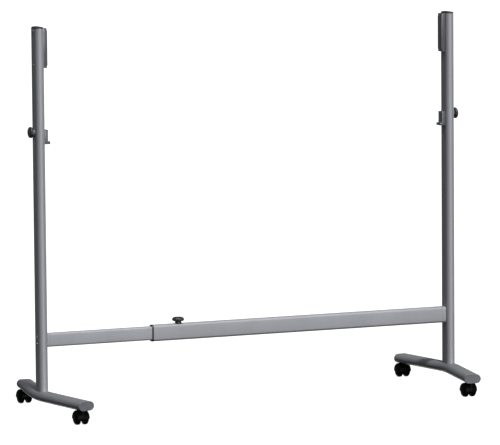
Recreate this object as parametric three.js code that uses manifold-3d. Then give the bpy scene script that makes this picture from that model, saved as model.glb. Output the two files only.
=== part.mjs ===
// Wheeled stand for a board: two flat-oval uprights on castor feet, joined by a telescoping crossbar.
// Millimetres, +Z up, +X to the right, -Y to the front. The origin is on the floor, in the middle.
import * as THREE from "three";
import { mergeVertices } from "three/addons/utils/BufferGeometryUtils.js";
import Module from "manifold-3d";

// Driving dimensions
const GAP = 0.3; // space kept between pieces that touch
const UPRIGHT_X = 970; // centre of each upright, left and right of the middle
const UPRIGHT = { width: 38, depth: 80, wall: 2, top: 1673, basePlate: 6 };
const TOP_CAP = { rim: 3.5, dome: 4, skirt: 18, skirtWall: 2, notch: 24 };
const DOME_LAYERS = [[1.5, 0.35], [5, 0.7], [11, 1]]; // inset from the rim, share of the dome's height
const FOOT = { width: 75, bottom: 66, height: 40, wall: 2.5, reach: 372, turn: 10, bendRadius: 350 };
const FOOT_CAP = { plate: 4, plug: 52, edge: 1.5 };
const FOOT_BOLT = { radius: 5, headRadius: 9, head: 5, top: 122 };
const TOP_BRACKET = {
  bottom: 1503, top: 1673, width: 40, depth: 19, wall: 3, bevel: 3, pad: 12, padDepth: 17, solidEnd: 20,
};
const BRACKET_EDGE = 2; // chamfer on the edges of both kinds of bracket
const BRACKET_SCREW_INSET = { low: 13.5, high: 10.5 }; // from the ends of the top bracket
const LEDGE = {
  bottom: 1175, top: 1237, depth: 17, lipDepth: 27, lip: 12, lipEdge: 1.5, width: 40, studZ: 1227,
};
const LEDGE_KEY = { top: 5, bottom: 16 }; // below the stud, in the slot
const STUD_BITE = 12; // length of a ledge stud inside its bracket
const LEDGE_TRAVEL = 104; // how far each ledge bracket lowers in its slot
const SLOT_WIDTH = 9;
const BOLT_RADIUS = 4; // ledge studs and crossbar clamp screw
const KNOB = { radius: 25, height: 15.5, spacerRadius: 12, spacer: 10 };
const KNOB_FILL = { screw: 0.6, bore: 0.7 }; // share of a knob's cap that its screw and its bore take up
const MUSHROOM = { flat: 0.62, shoulder: 0.9, edge: 0.45 }; // radii and height, as shares of the knob's
const BAR_Z = 327;
const OUTER_BAR = { height: 72, depth: 36, wall: 2.5, corner: 11, end: -454 };
const INNER_BAR = { height: 60, depth: 28, wall: 2, corner: 8.5, end: -30 };
const COLLAR = { length: 7, proud: 0.5, spigot: 30 };
const BAR_GUIDE = { runner: 22, plug: 20 };
const END_HEAD = 16; // visible length of the crossbar end blocks
const END_PLUG = 40; // length of the crossbar end blocks inside the tubes
const CLAMP = { x: -333, capRadius: 27, neckRadius: 15, neck: 9, cap: 18, insertRadius: 5.5, footRadius: 7 };
const CLAMP_INSERT = { flange: 2.5, thickness: 1 };
const CLAMP_FOOT = 1.8; // thickness of the clamp screw's pressure foot
const BAR_SCREW = { radius: 2.7, spread: 15, length: 64 };
const BRACKET_SCREW = { radius: 3, headRadius: 5.5, head: 3, bite: 4 };
const STEM = { inset: 28, radius: 5.5, lowerRadius: 5, low: 34, collarRadius: 9, collar: 2, depth: 29 };
const WHEEL = {
  radius: 30, inner: 8.5, rim: 5, treadIn: 13.5, treadOut: 20, outer: 31.5, hub: 10, boreEnd: 24,
};
const RIM_BEND = { in: 0.3, out: 0.35 }; // middle point of the wheel's inner edge, as shares of the rim
const TRAIL = 25; // from the swivel axis back to the axle
const HOOD = { shell: 2, clear: 1.2, web: 6, webLow: 17, boss: 7.5, low: 27 };
const AXLE_RADIUS = 4;
const RUNNING = 0.3; // radial clearance of turning pieces
const SMOOTH = 20; // sides of a full turn on wheels and knobs
const COARSE = 10; // sides of a full turn on screws and pins
const TUBE_ARC = 3; // sides of an arc on the oval tubes
const CORNER_ARC = 2; // sides of a corner on the crossbar tubes
const DOME_STEPS = 3; // sides of a quarter round on knobs and wheels

// Worked out from them
const FOOT_TOP = FOOT.bottom + FOOT.height;
const INNER_FACE = UPRIGHT_X - UPRIGHT.width / 2;
const OUTER_FACE = UPRIGHT_X + UPRIGHT.width / 2;
const TURN = THREE.MathUtils.degToRad(FOOT.turn);
const HOOD_RADIUS = WHEEL.radius + HOOD.clear + HOOD.shell;
const STEM_Y = FOOT.reach - STEM.inset * Math.cos(TURN);
const REAR_END = STEM_Y + TRAIL + HOOD_RADIUS; // the castors trail to the rear
const CAP_EDGE = FOOT.width / 2 - FOOT_CAP.edge;
const STEM_COLLAR_LOW = FOOT.bottom - GAP - STEM.collar;
const BAR_TOP = BAR_Z + OUTER_BAR.height / 2;
const INNER_TOP = BAR_Z + INNER_BAR.height / 2;
const FRONT_END = FOOT.reach + FOOT_CAP.plate * Math.cos(TURN) + CAP_EDGE * Math.sin(TURN);

const metal = (color) => new THREE.MeshStandardMaterial({ color, roughness: 0.45, metalness: 0.7 });
const plastic = (color) => new THREE.MeshStandardMaterial({ color, roughness: 0.4, metalness: 0 });
const SILVER = metal(0x9a9ca0);
const MID_GREY = metal(0x808288);
const DARK_METAL = metal(0x6a6a72);
const ZINC = metal(0xb4b6ba);
const BLACK = plastic(0x141416);
const GREY_PLASTIC = plastic(0x6c6e74);

const wasm = await Module();
wasm.setup();

// A closed three.js geometry as a solid for joins and cuts.
function solid(geometry) {
  const bare = geometry.index ? geometry.toNonIndexed() : geometry.clone();
  bare.deleteAttribute("normal");
  bare.deleteAttribute("uv");
  const merged = mergeVertices(bare, 1e-4);
  return new wasm.Manifold(
    new wasm.Mesh({
      numProp: 3,
      vertProperties: new Float32Array(merged.attributes.position.array),
      triVerts: new Uint32Array(merged.index.array),
    }),
  );
}

function geometryOf(body) {
  const { vertProperties, triVerts, numProp } = body.getMesh();
  const points = new Float32Array((vertProperties.length / numProp) * 3);
  for (let i = 0; i < points.length / 3; i++)
    for (let k = 0; k < 3; k++) points[3 * i + k] = vertProperties[numProp * i + k];
  const geometry = new THREE.BufferGeometry();
  geometry.setAttribute("position", new THREE.BufferAttribute(points, 3));
  geometry.setIndex(new THREE.BufferAttribute(new Uint32Array(triVerts), 1));
  geometry.computeVertexNormals();
  return geometry;
}

// The first geometry with the others joined to it, or cut from it.
const join = (first, ...others) => geometryOf(others.reduce((a, g) => a.add(solid(g)), solid(first)));
const cut = (first, ...others) => geometryOf(others.reduce((a, g) => a.subtract(solid(g)), solid(first)));
const common = (first, second) => geometryOf(solid(first).intersect(solid(second)));

// Flat-oval outline, w across the flats (x) and d over the rounds (y).
function oval(w, d) {
  const r = w / 2;
  const y = d / 2 - r;
  const shape = new THREE.Shape();
  shape.moveTo(r, -y);
  shape.lineTo(r, y);
  shape.absarc(0, y, r, 0, Math.PI, false);
  shape.lineTo(-r, -y);
  shape.absarc(0, -y, r, Math.PI, 2 * Math.PI, false);
  return shape;
}

// Rectangle w by h with round corners.
function roundedRect(w, h, r) {
  const [x, y] = [w / 2 - r, h / 2 - r];
  const shape = new THREE.Shape();
  shape.moveTo(w / 2, -y);
  shape.lineTo(w / 2, y);
  shape.absarc(x, y, r, 0, Math.PI / 2, false);
  shape.lineTo(-x, h / 2);
  shape.absarc(-x, y, r, Math.PI / 2, Math.PI, false);
  shape.lineTo(-w / 2, -y);
  shape.absarc(-x, -y, r, Math.PI, 1.5 * Math.PI, false);
  shape.lineTo(x, -h / 2);
  shape.absarc(x, -y, r, 1.5 * Math.PI, 2 * Math.PI, false);
  return shape;
}

function outline(points) {
  return new THREE.Shape(points.map(([x, y]) => new THREE.Vector2(x, y)));
}

function hollow(outer, inner) {
  outer.holes.push(inner);
  return outer;
}

// Upright prism of a shape from z = low to z = high.
function prism(shape, low, high, curveSegments = TUBE_ARC) {
  const options = { depth: high - low, bevelEnabled: false, curveSegments };
  return new THREE.ExtrudeGeometry(shape, options).translate(0, 0, low);
}

// Prism along X of a shape drawn in (y, z), from x = low to x = high.
function beam(shape, low, high, curveSegments = TUBE_ARC) {
  return prism(shape, low, high, curveSegments).applyMatrix4(
    new THREE.Matrix4().makeBasis(
      new THREE.Vector3(0, 1, 0),
      new THREE.Vector3(0, 0, 1),
      new THREE.Vector3(1, 0, 0),
    ),
  );
}

// Slice of a side-view outline drawn in (x, z), from y = -width / 2 to y = width / 2.
function slab(points, width) {
  return prism(outline(points), -width / 2, width / 2).rotateX(Math.PI / 2);
}

function box(low, high) {
  const size = high.map((v, i) => v - low[i]);
  const middle = high.map((v, i) => (v + low[i]) / 2);
  return new THREE.BoxGeometry(...size).translate(...middle);
}

// Solid of revolution from [radius, height] points that start and end on the axis, or close a ring.
function lathe(points, sides = COARSE) {
  return new THREE.LatheGeometry(points.map(([r, h]) => new THREE.Vector2(r, h)), sides);
}

const turnedZ = (points, sides) => lathe(points, sides).rotateX(Math.PI / 2);
const turnedX = (points, sides) => lathe(points, sides).rotateZ(-Math.PI / 2);
const pinZ = (r, low, high, sides = COARSE) => turnedZ([[0, low], [r, low], [r, high], [0, high]], sides);
const pinX = (r, low, high, sides = COARSE) => turnedX([[0, low], [r, low], [r, high], [0, high]], sides);

// Points of an ellipse quarter from [r0, x0] at its rim to [r1, x1] at its end, for a domed side.
function domed(r0, x0, r1, x1, steps) {
  return Array.from({ length: steps + 1 }, (_, i) => {
    const a = (i / steps) * (Math.PI / 2);
    return [r1 + (r0 - r1) * Math.cos(a), x0 + (x1 - x0) * Math.sin(a)];
  });
}

function piece(name, geometry, material) {
  const mesh = new THREE.Mesh(geometry, material);
  mesh.name = name;
  return mesh;
}

// Upright tube with a welded base plate, the ledge slot and the screw holes.
function upright() {
  const { width, depth, wall, top, basePlate } = UPRIGHT;
  const low = FOOT_TOP + GAP;
  const tube = prism(hollow(oval(width, depth), oval(width - 2 * wall, depth - 2 * wall)), low, top);
  const plate = prism(oval(width - wall, depth - wall), low, low + basePlate);
  const drop = LEDGE_TRAVEL + LEDGE_KEY.bottom;
  const slot = beam(oval(SLOT_WIDTH, drop + SLOT_WIDTH), -width, width)
    .translate(0, 0, LEDGE.studZ - drop / 2);
  const across = [...bracketScrewHeights(), ...barScrewHeights()].map((z) =>
    pinX(BRACKET_SCREW.radius + GAP, -width, width).translate(0, 0, z),
  );
  const boltHole = pinZ(FOOT_BOLT.radius + GAP, low - 1, low + basePlate + 1);
  return cut(join(tube, plate), slot, boltHole, ...across).translate(UPRIGHT_X, 0, 0);
}

function bracketScrewHeights() {
  return [TOP_BRACKET.bottom + BRACKET_SCREW_INSET.low, TOP_BRACKET.top - BRACKET_SCREW_INSET.high];
}

const barScrewHeights = () => [BAR_Z - BAR_SCREW.spread, BAR_Z + BAR_SCREW.spread];

// Domed plastic cap with a skirt inside the tube.
function topCap() {
  const { width, depth, wall, top } = UPRIGHT;
  const { rim, dome, skirt, skirtWall, notch } = TOP_CAP;
  const low = top + GAP;
  const shell = prism(oval(width, depth), low, low + rim);
  const layers = DOME_LAYERS.map(([inset, share]) =>
    prism(oval(width - 2 * inset, depth - 2 * inset), low + rim - 1, low + rim + dome * share),
  );
  const [outer, inner] = [2 * (wall + GAP), 2 * (wall + GAP + skirtWall)];
  const sleeve = hollow(oval(width - outer, depth - outer), oval(width - inner, depth - inner));
  const notches = box([-width, -notch / 2, top - skirt - 1], [width, notch / 2, top]);
  return join(shell, ...layers, cut(prism(sleeve, top - skirt, low + 1), notches)).translate(UPRIGHT_X, 0, 0);
}

// Centre line of a foot seen from above: straight arms turned inwards, with a bend under the upright.
function footPath(z) {
  const { reach } = FOOT;
  const straightEnd = FOOT.bendRadius * Math.tan(TURN / 2) * 2;
  const corner = (straightEnd * Math.tan(TURN)) / 2;
  const at = (y) => new THREE.Vector3(UPRIGHT_X + corner - Math.abs(y) * Math.tan(TURN), y, z);
  const path = new THREE.CurvePath();
  path.add(new THREE.LineCurve3(at(-reach), at(-straightEnd)));
  path.add(new THREE.QuadraticBezierCurve3(at(-straightEnd), at(0), at(straightEnd)));
  path.add(new THREE.LineCurve3(at(straightEnd), at(reach)));
  return path;
}

// Puts a piece drawn around the origin, along +Y, on a foot arm: end 1 is the rear arm, -1 the front one.
function onArm(geometry, end) {
  const tip = footPath(0).getPoint(end > 0 ? 1 : 0);
  const place = new THREE.Matrix4().makeRotationZ(end > 0 ? TURN : Math.PI - TURN);
  return geometry.applyMatrix4(place).translate(tip.x, tip.y, 0);
}

// Where a castor stands: the stem's place under a foot arm.
function stemPlace(end) {
  const tip = footPath(0).getPoint(end > 0 ? 1 : 0);
  return new THREE.Vector3(tip.x + STEM.inset * Math.sin(TURN), end * STEM_Y, 0);
}

function foot() {
  const { width, height, wall, bottom } = FOOT;
  const section = hollow(oval(height, width), oval(height - 2 * wall, width - 2 * wall));
  const path = footPath(bottom + height / 2);
  const tube = new THREE.ExtrudeGeometry(section, { steps: 12, extrudePath: path, curveSegments: TUBE_ARC });
  const holes = [-1, 1].map((end) => {
    const stem = stemPlace(end);
    return pinZ(STEM.radius + GAP, bottom - 1, bottom + wall + 1).translate(stem.x, stem.y, 0);
  });
  const bolt = pinZ(FOOT_BOLT.radius + GAP, bottom - 1, FOOT_TOP + 1).translate(UPRIGHT_X, 0, 0);
  return cut(tube, bolt, ...holes);
}

// End cap of a foot: a round-ended plate, and a plug inside the tube that grips the castor stem.
function footCap(end) {
  const { width, height, wall, bottom } = FOOT;
  const { plate, plug, edge } = FOOT_CAP;
  const lying = (shape, low, high) => prism(shape, low, high).rotateZ(Math.PI / 2).rotateX(-Math.PI / 2);
  const face = lying(oval(height, width), GAP, plate - edge);
  const rim = lying(oval(height - 2 * edge, width - 2 * edge), plate - edge - 0.5, plate);
  const slack = 2 * (wall + GAP);
  const block = lying(oval(height - slack, width - slack), -plug, GAP + 0.5);
  const shape = join(face, rim, block).translate(0, 0, bottom + height / 2);
  const socket = pinZ(STEM.radius + GAP, bottom, bottom + STEM.depth + GAP).translate(0, -STEM.inset, 0);
  return onArm(cut(shape, socket), end);
}

function footBolt() {
  const { radius, headRadius, head, top } = FOOT_BOLT;
  const seat = FOOT.bottom - GAP;
  const profile = [[0, seat - head], [headRadius - 1, seat - head], [headRadius, seat - head + 1]];
  profile.push([headRadius, seat], [radius, seat], [radius, top], [0, top]);
  return turnedZ(profile, COARSE).translate(UPRIGHT_X, 0, 0);
}

// Long bracket: a raised middle between two screw pads, hollow towards the upright.
function topBracket() {
  const { bottom, top, width, depth, wall, bevel, pad, padDepth, solidEnd } = TOP_BRACKET;
  const back = INNER_FACE - GAP;
  const x = (proud) => INNER_FACE - proud;
  const side = [
    [back, bottom], [back, top], [x(padDepth - BRACKET_EDGE), top], [x(padDepth), top - BRACKET_EDGE],
    [x(padDepth), top - pad + bevel], [x(depth), top - pad], [x(depth), bottom + pad],
    [x(padDepth), bottom + pad - bevel], [x(padDepth), bottom + BRACKET_EDGE],
    [x(padDepth - BRACKET_EDGE), bottom],
  ];
  const pocket = box(
    [x(depth - wall), wall - width / 2, bottom + solidEnd],
    [back + 1, width / 2 - wall, top - solidEnd],
  );
  const holes = bracketScrewHeights().map((z) =>
    pinX(BRACKET_SCREW.radius + GAP, x(padDepth - 3), back + 1).translate(0, 0, z),
  );
  return cut(slab(side, width), pocket, ...holes);
}

// Pan-head screw through an upright, from its outer face inwards.
function crossScrew(radius, z, end) {
  const seat = OUTER_FACE + GAP;
  const { headRadius, head } = BRACKET_SCREW;
  const profile = [[0, end], [radius, end], [radius, seat], [headRadius, seat]];
  profile.push([headRadius, seat + head / 2], [headRadius * 0.6, seat + head], [0, seat + head]);
  return turnedX(profile, COARSE).translate(0, 0, z);
}

// Short bracket with a lip for the board's lower edge, and a key that runs in the upright's slot.
function ledgeBracket() {
  const { bottom, top, depth, lipDepth, lip, lipEdge, width, studZ } = LEDGE;
  const back = INNER_FACE - GAP;
  const x = (proud) => INNER_FACE - proud;
  const side = [
    [back, bottom], [back, top], [x(depth - BRACKET_EDGE), top], [x(depth), top - BRACKET_EDGE],
    [x(depth), bottom + lip], [x(lipDepth - lipEdge), bottom + lip],
    [x(lipDepth), bottom + lip - lipEdge], [x(lipDepth), bottom + BRACKET_EDGE],
    [x(lipDepth - BRACKET_EDGE), bottom],
  ];
  const keyWidth = SLOT_WIDTH / 2 - GAP;
  const keyLow = [back - 1, -keyWidth, studZ - LEDGE_KEY.bottom];
  const key = box(keyLow, [INNER_FACE + UPRIGHT.wall, keyWidth, studZ - LEDGE_KEY.top]);
  const bore = pinX(BOLT_RADIUS + GAP, x(STUD_BITE + GAP), back + 3).translate(0, 0, studZ);
  return cut(join(slab(side, width), key), bore);
}

// Threaded stud from the ledge bracket, through the upright's slot to the knob.
function ledgeStud() {
  const end = OUTER_FACE + KNOB.spacer + KNOB.height * KNOB_FILL.screw;
  return pinX(BOLT_RADIUS, INNER_FACE - STUD_BITE, end).translate(0, 0, LEDGE.studZ);
}

function ledgeSpacer() {
  const low = OUTER_FACE + GAP;
  const ring = pinX(KNOB.spacerRadius, low, low + KNOB.spacer, SMOOTH);
  return cut(ring, pinX(BOLT_RADIUS + GAP, low - 1, low + KNOB.spacer + 1)).translate(0, 0, LEDGE.studZ);
}

// Mushroom profile as [radius, height] points from the axis at its foot to the axis at its top.
function mushroom(radius, low, height) {
  const edge = height * MUSHROOM.edge;
  const flat = radius * MUSHROOM.flat;
  const under = [[0, low], [flat, low], [radius * MUSHROOM.shoulder, low + edge * 0.3], [radius, low + edge]];
  const crown = domed(radius, low + edge, flat, low + height, DOME_STEPS).slice(1);
  return [...under, ...crown, [0, low + height]];
}

function ledgeKnob() {
  const low = OUTER_FACE + GAP + KNOB.spacer + GAP;
  const body = turnedX(mushroom(KNOB.radius, low, KNOB.height), SMOOTH);
  const bore = pinX(BOLT_RADIUS + GAP, low - 1, low + KNOB.height * KNOB_FILL.bore);
  return cut(body, bore).translate(0, 0, LEDGE.studZ);
}

// Castor pieces are drawn around the swivel axis, with the axle TRAIL behind it.
function castorStem() {
  const { radius, lowerRadius, low, collarRadius, depth } = STEM;
  const profile = [
    [0, low], [lowerRadius, low], [lowerRadius, STEM_COLLAR_LOW], [collarRadius, STEM_COLLAR_LOW],
    [collarRadius, FOOT.bottom - GAP], [radius, FOOT.bottom - GAP], [radius, FOOT.bottom + depth - 2],
    [radius - 2, FOOT.bottom + depth], [0, FOOT.bottom + depth],
  ];
  return turnedZ(profile, COARSE);
}

// Half of the rounded castor body from the middle plane out to one side, grown by a margin.
function ballProfile(margin) {
  const { radius, treadOut, hub, outer } = WHEEL;
  const side = domed(radius + margin, treadOut, hub, outer + margin, DOME_STEPS);
  return [...side, [0, outer + margin]];
}

function castorHousing() {
  const { radius, inner } = WHEEL;
  const { clear, shell, web, webLow, boss, low } = HOOD;
  const half = ballProfile(clear + shell);
  const mirrored = half.map(([r, x]) => [r, -x]).reverse();
  const ball = turnedX([...mirrored, ...half], SMOOTH);
  const roomSide = [[0, inner - 1], [radius + clear, inner - 1], ...ballProfile(clear)];
  const room = turnedX(roomSide, SMOOTH);
  const otherRoom = turnedX(roomSide.map(([r, x]) => [r, -x]).reverse(), SMOOTH);
  const reach = HOOD_RADIUS + 2;
  const belowHood = box([-reach, -reach, -reach - radius], [reach, reach, low - radius]);
  const hood = cut(ball, room, otherRoom, belowHood);
  const webDisc = common(
    turnedX([[0, -web], [radius - 4, -web], [radius - 4, web], [0, web]], SMOOTH),
    box([-web, -reach, webLow - radius], [web, reach, reach]),
  );
  const top = STEM_COLLAR_LOW - GAP - radius;
  const post = pinZ(boss, -2, top).translate(0, -TRAIL, 0);
  const boreLow = STEM.low - radius - 1;
  const bore = pinZ(STEM.lowerRadius + RUNNING, boreLow, top + 1).translate(0, -TRAIL, 0);
  const axleBore = pinX(AXLE_RADIUS + RUNNING, -inner, inner);
  const body = cut(join(webDisc, post, hood), bore, axleBore, room, otherRoom);
  return body.translate(0, TRAIL, WHEEL.radius);
}

function castorWheel(side) {
  const { radius, inner, rim, treadIn, boreEnd } = WHEEL;
  const bore = AXLE_RADIUS + RUNNING;
  const profile = [
    [0, boreEnd], [bore, boreEnd], [bore, inner], [radius - rim, inner],
    [radius - rim * RIM_BEND.in, inner + rim * RIM_BEND.out], [radius, treadIn], ...ballProfile(0),
  ];
  const turnedProfile = side > 0 ? profile : profile.map(([r, x]) => [r, -x]).reverse();
  return turnedX(turnedProfile, SMOOTH).translate(0, TRAIL, WHEEL.radius);
}

function castorAxle() {
  const end = WHEEL.boreEnd - 1;
  return pinX(AXLE_RADIUS, -end, end).translate(0, TRAIL, WHEEL.radius);
}

function castor(prefix, end) {
  const group = new THREE.Group();
  group.position.copy(stemPlace(end));
  group.add(
    piece(`${prefix}_castor_stem`, castorStem(), ZINC),
    piece(`${prefix}_castor_housing`, castorHousing(), BLACK),
    piece(`${prefix}_castor_axle`, castorAxle(), ZINC),
    piece(`${prefix}_castor_inner_wheel`, castorWheel(-1), BLACK),
    piece(`${prefix}_castor_outer_wheel`, castorWheel(1), BLACK),
  );
  return group;
}

// Everything on one side of the stand, drawn on the right; the left side is its mirror image.
function standSide(side, barBlock) {
  const group = new THREE.Group();
  const bracketScrewEnd = INNER_FACE - TOP_BRACKET.padDepth + BRACKET_SCREW.bite;
  const [lowHeight, highHeight] = bracketScrewHeights();
  const [lowBar, highBar] = barScrewHeights();
  const barScrewEnd = OUTER_FACE - BAR_SCREW.length;
  group.add(
    piece(`${side}_upright`, upright(), SILVER),
    piece(`${side}_top_cap`, topCap(), BLACK),
    piece(`${side}_foot`, foot(), MID_GREY),
    piece(`${side}_front_foot_cap`, footCap(-1), GREY_PLASTIC),
    piece(`${side}_rear_foot_cap`, footCap(1), GREY_PLASTIC),
    piece(`${side}_foot_bolt`, footBolt(), ZINC),
    piece(`${side}_top_bracket`, topBracket(), DARK_METAL),
    piece(`${side}_bracket_screw_lower`, crossScrew(BRACKET_SCREW.radius, lowHeight, bracketScrewEnd), ZINC),
    piece(`${side}_bracket_screw_upper`, crossScrew(BRACKET_SCREW.radius, highHeight, bracketScrewEnd), ZINC),
    piece(`${side}_crossbar_screw_lower`, crossScrew(BAR_SCREW.radius, lowBar, barScrewEnd), ZINC),
    piece(`${side}_crossbar_screw_upper`, crossScrew(BAR_SCREW.radius, highBar, barScrewEnd), ZINC),
    piece(`${side}_crossbar_end_block`, barBlock, SILVER),
    piece(`${side}_ledge_bracket`, ledgeBracket(), DARK_METAL),
    piece(`${side}_ledge_stud`, ledgeStud(), ZINC),
    piece(`${side}_ledge_spacer`, ledgeSpacer(), GREY_PLASTIC),
    piece(`${side}_ledge_knob`, ledgeKnob(), BLACK),
    castor(`${side}_front`, -1),
    castor(`${side}_rear`, 1),
  );
  if (side === "left") group.scale.x = -1;
  return group;
}

// Section of a crossbar tube, shrunk by a margin all round.
function barSection({ depth, height, corner }, margin = 0) {
  return roundedRect(depth - 2 * margin, height - 2 * margin, Math.max(corner - margin, 1));
}

function barTube(bar, low, high) {
  const section = hollow(barSection(bar), barSection(bar, bar.wall));
  return beam(section, low, high, CORNER_ARC).translate(0, 0, BAR_Z);
}

// Block in the end of a crossbar tube that the upright's screws bite into.
function endBlock(bar) {
  const face = INNER_FACE - GAP;
  const head = beam(barSection(bar), face - END_HEAD, face, CORNER_ARC);
  const plug = beam(barSection(bar, bar.wall + GAP), face - END_HEAD - END_PLUG, face - 1, CORNER_ARC);
  const holeEnd = OUTER_FACE - BAR_SCREW.length - 3;
  const holes = [-1, 1].map((up) =>
    pinX(BAR_SCREW.radius + GAP, holeEnd, face + 1).translate(0, 0, up * BAR_SCREW.spread),
  );
  return cut(join(head, plug), ...holes).translate(0, 0, BAR_Z);
}

// Plastic collar at the mouth of the outer tube, with a bush inside it that the inner tube slides in.
function collar() {
  const { length, proud, spigot } = COLLAR;
  const { end, wall } = OUTER_BAR;
  const flange = beam(barSection(OUTER_BAR, -proud), end - GAP - length, end - GAP, CORNER_ARC);
  const bush = beam(barSection(OUTER_BAR, wall + GAP), end - length + 1, end + spigot, CORNER_ARC);
  const opening = beam(barSection(INNER_BAR, -GAP), end - length - 5, end + spigot + 5, CORNER_ARC);
  return cut(join(flange, bush), opening).translate(0, 0, BAR_Z);
}

// Guide on the hidden end of the inner tube.
function barGuide() {
  const { end, wall } = INNER_BAR;
  const { runner: length, plug: depth } = BAR_GUIDE;
  const runner = beam(barSection(OUTER_BAR, OUTER_BAR.wall + GAP), end + GAP, end + length, CORNER_ARC);
  const plug = beam(barSection(INNER_BAR, wall + GAP), end - depth, end + 1, CORNER_ARC);
  return join(runner, plug).translate(0, 0, BAR_Z);
}

function outerBar() {
  const tube = barTube(OUTER_BAR, OUTER_BAR.end, INNER_FACE - END_HEAD - 2 * GAP);
  const hole = pinZ(CLAMP.insertRadius + GAP, BAR_TOP - 10, BAR_TOP + 5).translate(CLAMP.x, 0, 0);
  return cut(tube, hole);
}

// Flanged threaded insert in the top wall of the outer tube.
function clampInsert() {
  const { flange, thickness } = CLAMP_INSERT;
  const r = CLAMP.insertRadius;
  const [low, seat] = [BAR_TOP - OUTER_BAR.wall - GAP, BAR_TOP + GAP];
  const bore = BOLT_RADIUS + GAP;
  const profile = [
    [bore, low], [r, low], [r, seat], [r + flange, seat], [r + flange, seat + thickness],
    [bore, seat + thickness], [bore, low],
  ];
  return turnedZ(profile, COARSE).translate(CLAMP.x, 0, 0);
}

// Clamp screw with its pressure foot, which bears on the inner tube.
function clampScrew() {
  const low = INNER_TOP + GAP;
  const top = BAR_TOP + CLAMP.neck + CLAMP.cap * KNOB_FILL.screw;
  const { footRadius } = CLAMP;
  const profile = [
    [0, low], [footRadius, low], [footRadius, low + CLAMP_FOOT], [BOLT_RADIUS, low + CLAMP_FOOT],
    [BOLT_RADIUS, top], [0, top],
  ];
  return turnedZ(profile, COARSE).translate(CLAMP.x, 0, 0);
}

function clampKnob() {
  const { capRadius, neckRadius, neck, cap, x } = CLAMP;
  const low = BAR_TOP + GAP + CLAMP_INSERT.thickness + GAP;
  const capLow = BAR_TOP + neck;
  const crown = mushroom(capRadius, capLow, cap).slice(1);
  const profile = [[0, low], [neckRadius, low], [neckRadius * 0.9, capLow], ...crown];
  const bore = pinZ(BOLT_RADIUS + GAP, low - 1, BAR_TOP + neck + cap * KNOB_FILL.bore);
  return cut(turnedZ(profile, SMOOTH), bore).translate(x, 0, 0);
}

const stand = new THREE.Group();
stand.add(
  standSide("left", endBlock(INNER_BAR)),
  standSide("right", endBlock(OUTER_BAR)),
  piece("outer_crossbar", outerBar(), SILVER),
  piece("inner_crossbar", barTube(INNER_BAR, -INNER_FACE + END_HEAD + 2 * GAP, INNER_BAR.end), SILVER),
  piece("crossbar_collar", collar(), BLACK),
  piece("inner_crossbar_guide", barGuide(), BLACK),
  piece("clamp_insert", clampInsert(), ZINC),
  piece("clamp_screw", clampScrew(), ZINC),
  piece("clamp_knob", clampKnob(), BLACK),
);
stand.position.y = (FRONT_END - REAR_END) / 2;

export default stand;
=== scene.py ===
"""Looks of a wheeled stand for a board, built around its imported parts. Metres, +Z up, -Y to the front."""
import math

import bmesh
import bpy
from mathutils import Matrix, Vector


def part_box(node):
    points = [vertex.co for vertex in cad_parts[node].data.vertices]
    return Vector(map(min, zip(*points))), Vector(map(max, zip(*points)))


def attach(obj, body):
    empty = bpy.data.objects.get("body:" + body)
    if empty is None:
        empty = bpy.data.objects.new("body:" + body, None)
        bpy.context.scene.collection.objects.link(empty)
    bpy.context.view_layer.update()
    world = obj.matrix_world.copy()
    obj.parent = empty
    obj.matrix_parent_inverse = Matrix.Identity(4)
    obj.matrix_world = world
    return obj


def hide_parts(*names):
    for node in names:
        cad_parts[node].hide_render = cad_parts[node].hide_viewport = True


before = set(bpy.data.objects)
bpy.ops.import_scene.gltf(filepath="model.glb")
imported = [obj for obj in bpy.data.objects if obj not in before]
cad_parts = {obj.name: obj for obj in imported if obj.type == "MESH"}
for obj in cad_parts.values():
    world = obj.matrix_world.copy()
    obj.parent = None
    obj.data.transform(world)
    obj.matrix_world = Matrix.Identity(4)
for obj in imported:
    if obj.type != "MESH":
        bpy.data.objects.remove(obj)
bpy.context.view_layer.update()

MM = 0.001
SIDES = ("left", "right")
ENDS = {"front": -1, "rear": 1}

# Fineness of the shapes
ROUND = 64  # sides of a full turn
SMALL_ROUND, WHEEL_ROUND, KNOB_ROUND = 32, 72, 96  # the same on screws and axles, on wheels and on knobs
ARC = 20  # sides of a half turn on the oval tubes
CORNER = 8  # sides of a corner on the crossbar tubes
BEND_STEPS = 40  # rows along the bend of a foot
SHARP = math.radians(32)  # edges sharper than this aren't smoothed over
SAME_POINT = 1e-7  # points closer than this are merged
BEVEL_STEPS, BEVEL_ANGLE = 3, math.radians(25)

# Fits and threads
FIT = 0.3 * MM  # room between fitted parts
SHANK = 4 * MM  # radius of the threaded studs and of the castor axles
BORE = SHANK + FIT
THREAD_PITCH, THREAD_DEPTH = 1.25 * MM, 0.5 * MM
LIP = 0.4 * MM  # eased edge at the ends of the metal tubes


def mid(box, axis):
    """Middle of a box along x, y or z."""
    low, high = (getattr(corner, axis) for corner in box)
    return (low + high) / 2


# Uprights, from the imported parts
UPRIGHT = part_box("right_upright")
X0, Y0 = mid(UPRIGHT, "x"), mid(UPRIGHT, "y")
INNER_FACE, OUTER_FACE = UPRIGHT[0].x, UPRIGHT[1].x
UPRIGHT_WALL = 2 * MM
LEDGE_STUD_Z = mid(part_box("right_ledge_stud"), "z")
SLOT_WIDTH, SLOT_DROP = 9 * MM, 120 * MM

# Feet
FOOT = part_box("right_foot")
FOOT_WIDTH, FOOT_HEIGHT, FOOT_WALL = 75 * MM, 40 * MM, 2.5 * MM
FOOT_REACH, FOOT_TURN, FOOT_BEND = 372 * MM, math.radians(10), 350 * MM

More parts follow.
